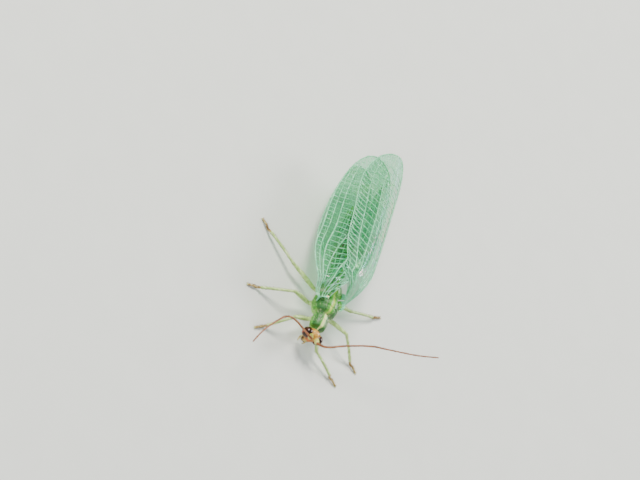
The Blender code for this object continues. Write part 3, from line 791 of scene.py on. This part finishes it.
def veinNet(wing, plan):
    # long veins as (path in (t, v), thickness at both ends), and crossveins as arrays of such paths
    curve = {name: (lambda t, knots=plan[name]: throughKnots(knots, t)) for name in
             ("subcosta", "radius", "sector", "media", "cubitus")}
    edge = lambda t: 1.0 + 0 * t
    rim = lambda t: 0.0 * t
    long, cross = [], []
    for name, first, last, thick, thin in (
            ("subcosta", 0, 0.93, 0.042, 0.026), ("radius", 0, 0.90, 0.052, 0.030),
            ("sector", 0.06, 0.90, 0.040, 0.024), ("media", 0, 0.90, 0.038, 0.022),
            ("cubitus", 0, 0.90, 0.036, 0.020)):
        t = np.linspace(first, last, 150)
        long.append((np.stack([t, np.clip(curve[name](t), 0.01, 0.99)], -1), thick, thin))
    t = 1 - (1 - np.linspace(0, 1, 190)) ** 1.6
    long.append((np.stack([t, 1 + 0 * t], -1), 0.048, 0.040))
    long.append((np.stack([t, 0 * t], -1), 0.026, 0.042))
    t = np.linspace(0, 0.24, 40)
    long.append((np.stack([t, np.clip(0.24 * (1 - (t / 0.24) ** 1.3), 0, 1)], -1), 0.030, 0.020))
    subcosta, radius, sector, media, cubitus = curve.values()
    sparse = np.concatenate([[0.05, 0.10], np.linspace(0.62, 0.90, 9)])
    cross.append(rungs(subcosta, edge, np.linspace(0.035, 0.90, plan["costal"]), 0.006, 0.002))
    cross.append(rungs(radius, subcosta, sparse, 0.003))
    cross.append(rungs(sector, radius, np.linspace(0.09, 0.885, plan["radial"]), 0.012))
    cross.append(rungs(media, sector, np.linspace(0.09, 0.90, plan["middle"]), -0.018, -0.004))
    cross.append(rungs(cubitus, media, np.linspace(0.07, 0.90, plan["inner"]), -0.016, -0.003))
    stems = rungs(rim, cubitus, np.linspace(0.06, 0.915, plan["marginal"]), -0.030, 0.003, 11)
    cross.append(stems)
    fork = stems[:, 4:5]
    s = np.linspace(0, 1, 5)[None, :, None]
    end = np.stack([np.minimum(stems[:, 0, 0] + 0.021, 0.985), 0 * stems[:, 0, 0]], -1)[:, None]
    cross.append(fork + (end - fork) * s)
    # two stepped rows of short crossveins over the outer half, and the forks round the tip
    for share, first, last, count in ((0.36, 0.42, 0.80, 9), (0.66, 0.50, 0.88, 9)):
        t0 = np.linspace(first, last, count)[:, None]
        s = np.linspace(0, 1, 6)[None]
        t = t0 + (last - first) / (count - 1) * s
        v = media(t) + (sector(t) - media(t)) * (share + 0.09 * (0.5 - s))
        cross.append(np.stack([t, v], -1))
    cross.extend(tipForks(wing, 0.895, plan["tipFan"]))
    return long, cross


def membraneMaterial():
    # wing membrane: a film of chitin a few hundredths of a millimetre thick, clear with a mint tint and the
    # rainbow of thin films; fine wrinkles run across the wing, 0.25 mm apart
    material, tree, shader = newMaterial("clear wing membrane", {"Roughness": 0.2, "IOR": 1.56})
    place = objectPlace(tree)
    cloud = noise(tree, place, 900.0, 3.0).outputs["Fac"]
    wrinkle = noise(tree, place, 4200.0, 2.0, Distortion=0.6)
    bump = addNode(tree, "ShaderNodeBump", {"Strength": 0.35, "Distance": 1.2e-5},
                   {"Height": wrinkle.outputs["Fac"]}).outputs["Normal"]
    see = addNode(tree, "ShaderNodeMapRange",
                  {"From Min": 0.3, "From Max": 0.7, "To Min": 0.08, "To Max": 0.16}, {"Value": cloud})
    tone = ramp(tree, cloud, ((0.36, "#2ba36b"), (0.66, "#63cb94")))
    feed(tree, shader, {"Base Color": tone, "Normal": bump})
    # rainbow of the film: pale green, blue, rose and gold drift over the wing, a few tenths of a mm apart
    drift = noise(tree, place, 520.0, 1.0, Distortion=1.2)
    rainbow = ramp(tree, drift.outputs["Fac"],
                   ((0.30, "#9fe8d2"), (0.45, "#a8d0f2"), (0.58, "#efb6d4"), (0.72, "#f2e3a8")))
    clear = addNode(tree, "ShaderNodeBsdfTransparent", {"Color": linearHex("#c0e9d0")})
    body = addNode(tree, "ShaderNodeMixShader", {},
                   {0: see.outputs["Result"], 1: clear.outputs[0], 2: shader.outputs[0]})
    gloss = addNode(tree, "ShaderNodeBsdfGlossy", {"Roughness": 0.17}, {"Color": rainbow, "Normal": bump})
    slant = addNode(tree, "ShaderNodeLayerWeight", {"Blend": 0.5}, {"Normal": bump})
    steep = addNode(tree, "ShaderNodeMath", {"operation": "POWER", 1: 3.0}, {0: slant.outputs["Facing"]})
    share = addNode(tree, "ShaderNodeMapRange", {"To Min": 0.05, "To Max": 0.40}, {"Value": steep.outputs[0]})
    film = addNode(tree, "ShaderNodeMixShader", {},
                   {0: share.outputs["Result"], 1: body.outputs[0], 2: gloss.outputs[0]})
    feed(tree, tree.nodes["Material Output"], {"Surface": film.outputs[0]})
    return material


def veinMaterial():
    # vein: a hollow chitin tube, mint green and waxy
    material, *_ = cuticleMaterial("mint vein cuticle", "#86d9a9", "#5fbd8b", "#b4efcd", 0.40)
    return material


def makeWing(name, wing, plan, film, vein):
    rows = 1 - (1 - np.linspace(0, 1, membrane["rows"])) ** 1.5
    columns = np.linspace(0, 1, membrane["columns"])
    t, v = np.meshgrid(rows * 0.9995, columns, indexing="ij")
    points = wingPoints(wing, t, v)
    words = name.split("_")
    title = words[0] + words[1].capitalize()
    uv = np.stack([0.01 + 0.98 * t, 0.01 + 0.98 * v], -1).reshape(-1, 2)
    sheet = (points.reshape(-1, 3), gridFaces(*t.shape), 0)
    makePiece(title + "Membrane", [sheet], [film], (name,), uv=uv)
    long, cross = veinNet(wing, plan)
    parts, roots, ways = [], [], []
    for path, thick, thin in long:
        place = wingPoints(wing, path[:, 0], path[:, 1])
        normal = unit(wingPoints(wing, path[:, 0], path[:, 1], 0.02) - place)
        radius = np.linspace(thick, thin, len(path)) * (0.6 + 0.4 * smooth(0, 0.12, path[:, 0]))
        parts.append((*tubes(place[None], normal[None], radius[None], 7), 0))
        count = membrane["bristles"]
        pick = rng.integers(4, len(path) - 2, count)
        slide = rng.uniform(0, 1, count)[:, None]
        spot = place[pick] * (1 - slide) + place[pick - 1] * slide
        along = unit(place[pick] - place[pick - 1])
        up = normal[pick]
        edgeWay = np.cross(along, up) * (1 if path[-1, 1] > 0.5 else -1) * wing["side"]
        flat = 1.0 if path[5, 1] in (0.0, 1.0) else 0.25
        roots.append(spot + up * radius[pick, None] * 0.5)
        ways.append(up * (1.1 - flat) * rng.choice([-1, 1, 1], count)[:, None] + along * 0.8 + edgeWay * flat)
    for paths in cross:
        t, v = paths[..., 0], np.clip(paths[..., 1], 0, 1)
        place = wingPoints(wing, t, v)
        normal = unit(wingPoints(wing, t, v, 0.02) - place)
        parts.append((*tubes(place, normal, membrane["crossVein"], 5), 0))
    # the hinge: a wrinkled sheet and four stout vein roots, bulging over the shoulder to the thorax
    bulge = np.array([wing["side"] * 0.07, -0.05, 0.17])

    def hingePoint(share, level):
        share, level = np.broadcast_arrays(share, level)
        top = wingPoints(wing, 0 * level, level)
        first, last = np.array(wing["base"])
        foot = last + (first - last) * level[..., None]
        s = share[..., None]
        wrinkle = 0.012 * np.sin(level * 21)[..., None]
        return foot * (1 - s) + top * s + (4 * bulge + wrinkle) * s * (1 - s)

    steps = np.linspace(0, 1, hinge["rows"])
    s, level = np.meshgrid(steps, np.linspace(0, 1, hinge["columns"]), indexing="ij")
    parts.append((hingePoint(s, level).reshape(-1, 3), gridFaces(*s.shape), 0))
    for level, radius in hinge["roots"]:
        thick = radius + (hinge["thin"] - radius) * steps
        parts.append((*tubes(hingePoint(steps, level)[None], (0, 1, 0.2), thick[None], 10), 0))
    makePiece(title + "Veins", parts, [vein], (name,))
    return np.vstack(roots), np.vstack(ways)


def makeWings():
    film, vein = membraneMaterial(), veinMaterial()
    bristles = [makeWing(name, wing, foreVeins if name.startswith("fore") else hindVeins, film, vein)
                for name, wing in wings.items()]
    return [np.vstack(made) for made in zip(*bristles)]


wingHairs = makeWings()
print("wings made")


# Legs

# hip: place along the trunk and degrees below its side; knee and ankle are the joints, toe lies on the ground
legs = dict(
    fore_left=dict(hip=(-1.3, 55), knee=(1.25, -2.75, 0.72), ankle=(3.2, -3.3, 0.32), toe=(4.1, -3.55)),
    fore_right=dict(hip=(-1.3, 55), knee=(-1.9, -2.3, 1.6), ankle=(-3.0, -3.4, 0.32), toe=(-3.7, -4.0)),
    mid_left=dict(hip=(0.1, 60), knee=(2.6, -0.6, 1.6), ankle=(4.5, -1.2, 0.32), toe=(5.4, -1.5)),
    mid_right=dict(hip=(0.1, 60), knee=(-2.6, -0.6, 1.6), ankle=(-4.5, -1.2, 0.32), toe=(-5.4, -1.5)),
    hind_left=dict(hip=(1.3, 60), knee=(2.9, 1.9, 0.8), ankle=(5.2, 3.2, 0.32), toe=(6.0, 3.8)),
    hind_right=dict(hip=(1.3, 60), knee=(-2.9, 1.9, 0.8), ankle=(-5.2, 3.2, 0.32), toe=(-6.0, 3.8)))
legSizes = dict(coxa=0.20, femur=0.155, tibia=0.10, tarsus=0.075, footSegments=5)


def makeLeg(name, spec, green, brown):
    side = 1 if name.endswith("left") else -1
    hip, below = np.array(spec["hip"][0]), math.radians(spec["hip"][1])
    width, height = (float(v) for v in trunkRadii(hip))
    flank, under = side * math.cos(below), -math.sin(below)
    skin = trunkCentre(hip) + np.array([width * flank, 0, height * under])
    outward = unit(np.array([flank / width, 0, under / height]))
    trochanter = skin + outward * 0.34
    knee, ankle = np.array(spec["knee"]), np.array(spec["ankle"])
    toe = np.array([*spec["toe"], legSizes["tarsus"]])
    parts, bristles = [], []

    def limb(knots, profile, steps, sides, material, hairCount):
        # a tube through the knots, its radius from profile(0 to 1), and its bristles
        path = splineThrough(knots, steps)
        radius = profile(np.linspace(0, 1, steps))
        parts.append((*tubes(path[None], (0, 0, 1), radius[None], sides), material))
        bristles.append(rootsAround(path, radius, (0, 0, 1), (2, steps - 2), hairCount, 0.9, 1.2))

    def rounded(s, power, least):
        return least + (1 - least) * np.clip(1 - np.abs(2 * s - 1) ** power, 0, 1) ** 0.5

    limb([skin - outward * 0.12, skin + outward * 0.1, trochanter + outward * 0.03],
         lambda s: legSizes["coxa"] * (1.0 - 0.28 * s) * rounded(s, 8, 0.25), 30, 20, 0, 40)
    thigh, shin = unit(knee - trochanter), unit(ankle - knee)
    limb([trochanter - thigh * 0.10, (trochanter + knee) / 2 + np.array([0, 0, 0.03]), knee + thigh * 0.02],
         lambda s: legSizes["femur"] * (0.72 + 0.34 * np.sin(np.pi * s ** 0.8)) * rounded(s, 22, 0.2),
         70, 20, 0, 150)
    limb([knee - shin * 0.05, (knee + ankle) / 2 + np.array([0, 0, 0.04]), ankle + shin * 0.03],
         lambda s: legSizes["tibia"] * (0.95 + 0.28 * bell(s, 0, 0.06) + 0.22 * bell(s, 1, 0.07))
         * rounded(s, 30, 0.25), 90, 18, 0, 230)
    parts.append((*blob(knee, (0.125, 0.125, 0.125), 14, 18), 0))
    joints = legSizes["footSegments"]
    ball = ankle * 0.72 + toe * 0.28
    ball[2] = 0.13
    limb([ankle + shin * 0.01, ball, ankle * 0.45 + toe * 0.55, toe],
         lambda s: legSizes["tarsus"] * (1.02 - 0.22 * s + 0.20 * ((s * joints) % 1.0))
         * (1 - 0.45 * jointBell(s * joints, 0.07)), 120, 14, 1, 200)
    # two curved claws and the pad between them
    forward = unit((toe - ball) * np.array([1, 1, 0]))
    across = np.array([-forward[1], forward[0], 0])
    parts.append((*blob(toe + forward * 0.03 - np.array([0, 0, 0.018]), (0.07, 0.07, 0.048), 12, 18), 0))
    for turn in (-1, 1):
        knots = ((-0.01, 0, 0), (0.07, 0.07, 0.035), (0.10, 0.10, -0.01), (0.11, 0.10, -0.062))
        claw = splineThrough([toe + forward * ahead + across * turn * out + np.array([0, 0, rise])
                              for ahead, out, rise in knots], 16)
        parts.append((*tubes(claw[None], across, np.linspace(0.030, 0.006, 16)[None], 8), 1))
    title = "leg" + "".join(word.capitalize() for word in name.split("_"))
    nodes = [segment + name for segment in ("femur_", "tibia_", "tarsus_")]
    makePiece(title, parts, [green, brown], nodes)
    return [np.vstack(made) for made in zip(*bristles)]


def makeLegs():
    green, *_ = cuticleMaterial("pale leg cuticle", "#b3cf7e", "#93b45a", "#d3e4a6", 0.40)
    brown, *_ = cuticleMaterial("brownish foot cuticle", "#b39a5c", "#86693a", "#cdb981", 0.45)
    bristles = [makeLeg(name, spec, green, brown) for name, spec in legs.items()]
    return [np.vstack(made) for made in zip(*bristles)]


legHairs = makeLegs()
print("legs made")


# Hairs

def hairMaterial(name, colour):
    # bristle: a thin clear chitin spike, one colour from root to tip
    return newMaterial(name, {"Base Color": linearHex(colour), "Roughness": 0.4, "IOR": 1.5})[0]


def makeHairPiece(name, roots, ways, lengths, radius, material):
    # bristles that would pass through the floor or out of the model's box are left out
    tips = toRow(roots + unit(ways) * lengths[:, None])
    kept = np.all((tips > np.array(cadLow)) & (tips < np.array(cadHigh)), 1)
    roots, ways, lengths = roots[kept], ways[kept], lengths[kept]
    points, faces = hairs(roots, ways, lengths, radius)
    makePiece(name, [(points, faces, 0)], [material], uv=hairMap(len(roots)))


def bodyHairRoots(count):
    y = np.concatenate([rng.uniform(-1.85, 1.7, count), rng.uniform(1.9, 9.0, count)])
    w = rng.uniform(-0.25 * np.pi, 1.25 * np.pi, 2 * count)
    spot = trunkSurface(y, w)
    near = trunkSurface(y + 0.02, w) - spot
    turn = trunkSurface(y, w + 0.02) - spot
    out = unit(np.cross(turn, near))
    out = out * np.sign(np.sum(out * (spot - trunkCentre(y)), -1, keepdims=True))
    return spot, out + np.array([0, 0.5, 0]) + rng.normal(0, 0.15, spot.shape)


def makeHairs():
    pale = hairMaterial("pale bristle", "#dfe6b8")
    brown = hairMaterial("brown bristle", "#7a5330")
    mint = hairMaterial("green bristle", "#74b078")
    for name, (roots, ways), lengths, radius, material, slotName in (
            ("body", bodyHairRoots(700), (0.10, 0.24), 0.006, pale, "thorax_cuticle"),
            ("antenna", antennaHairs, (0.06, 0.11), 0.004, brown, "antenna_cuticle"),
            ("leg", legHairs, (0.07, 0.16), 0.005, brown, "leg_cuticle"),
            ("wing", wingHairs, (0.08, 0.15), 0.006, mint, "wing_membrane")):
        lengths = rng.uniform(*lengths, len(roots))
        makeHairPiece(name + "Hairs", roots, ways, lengths, radius, material)


makeHairs()
print("hairs made")
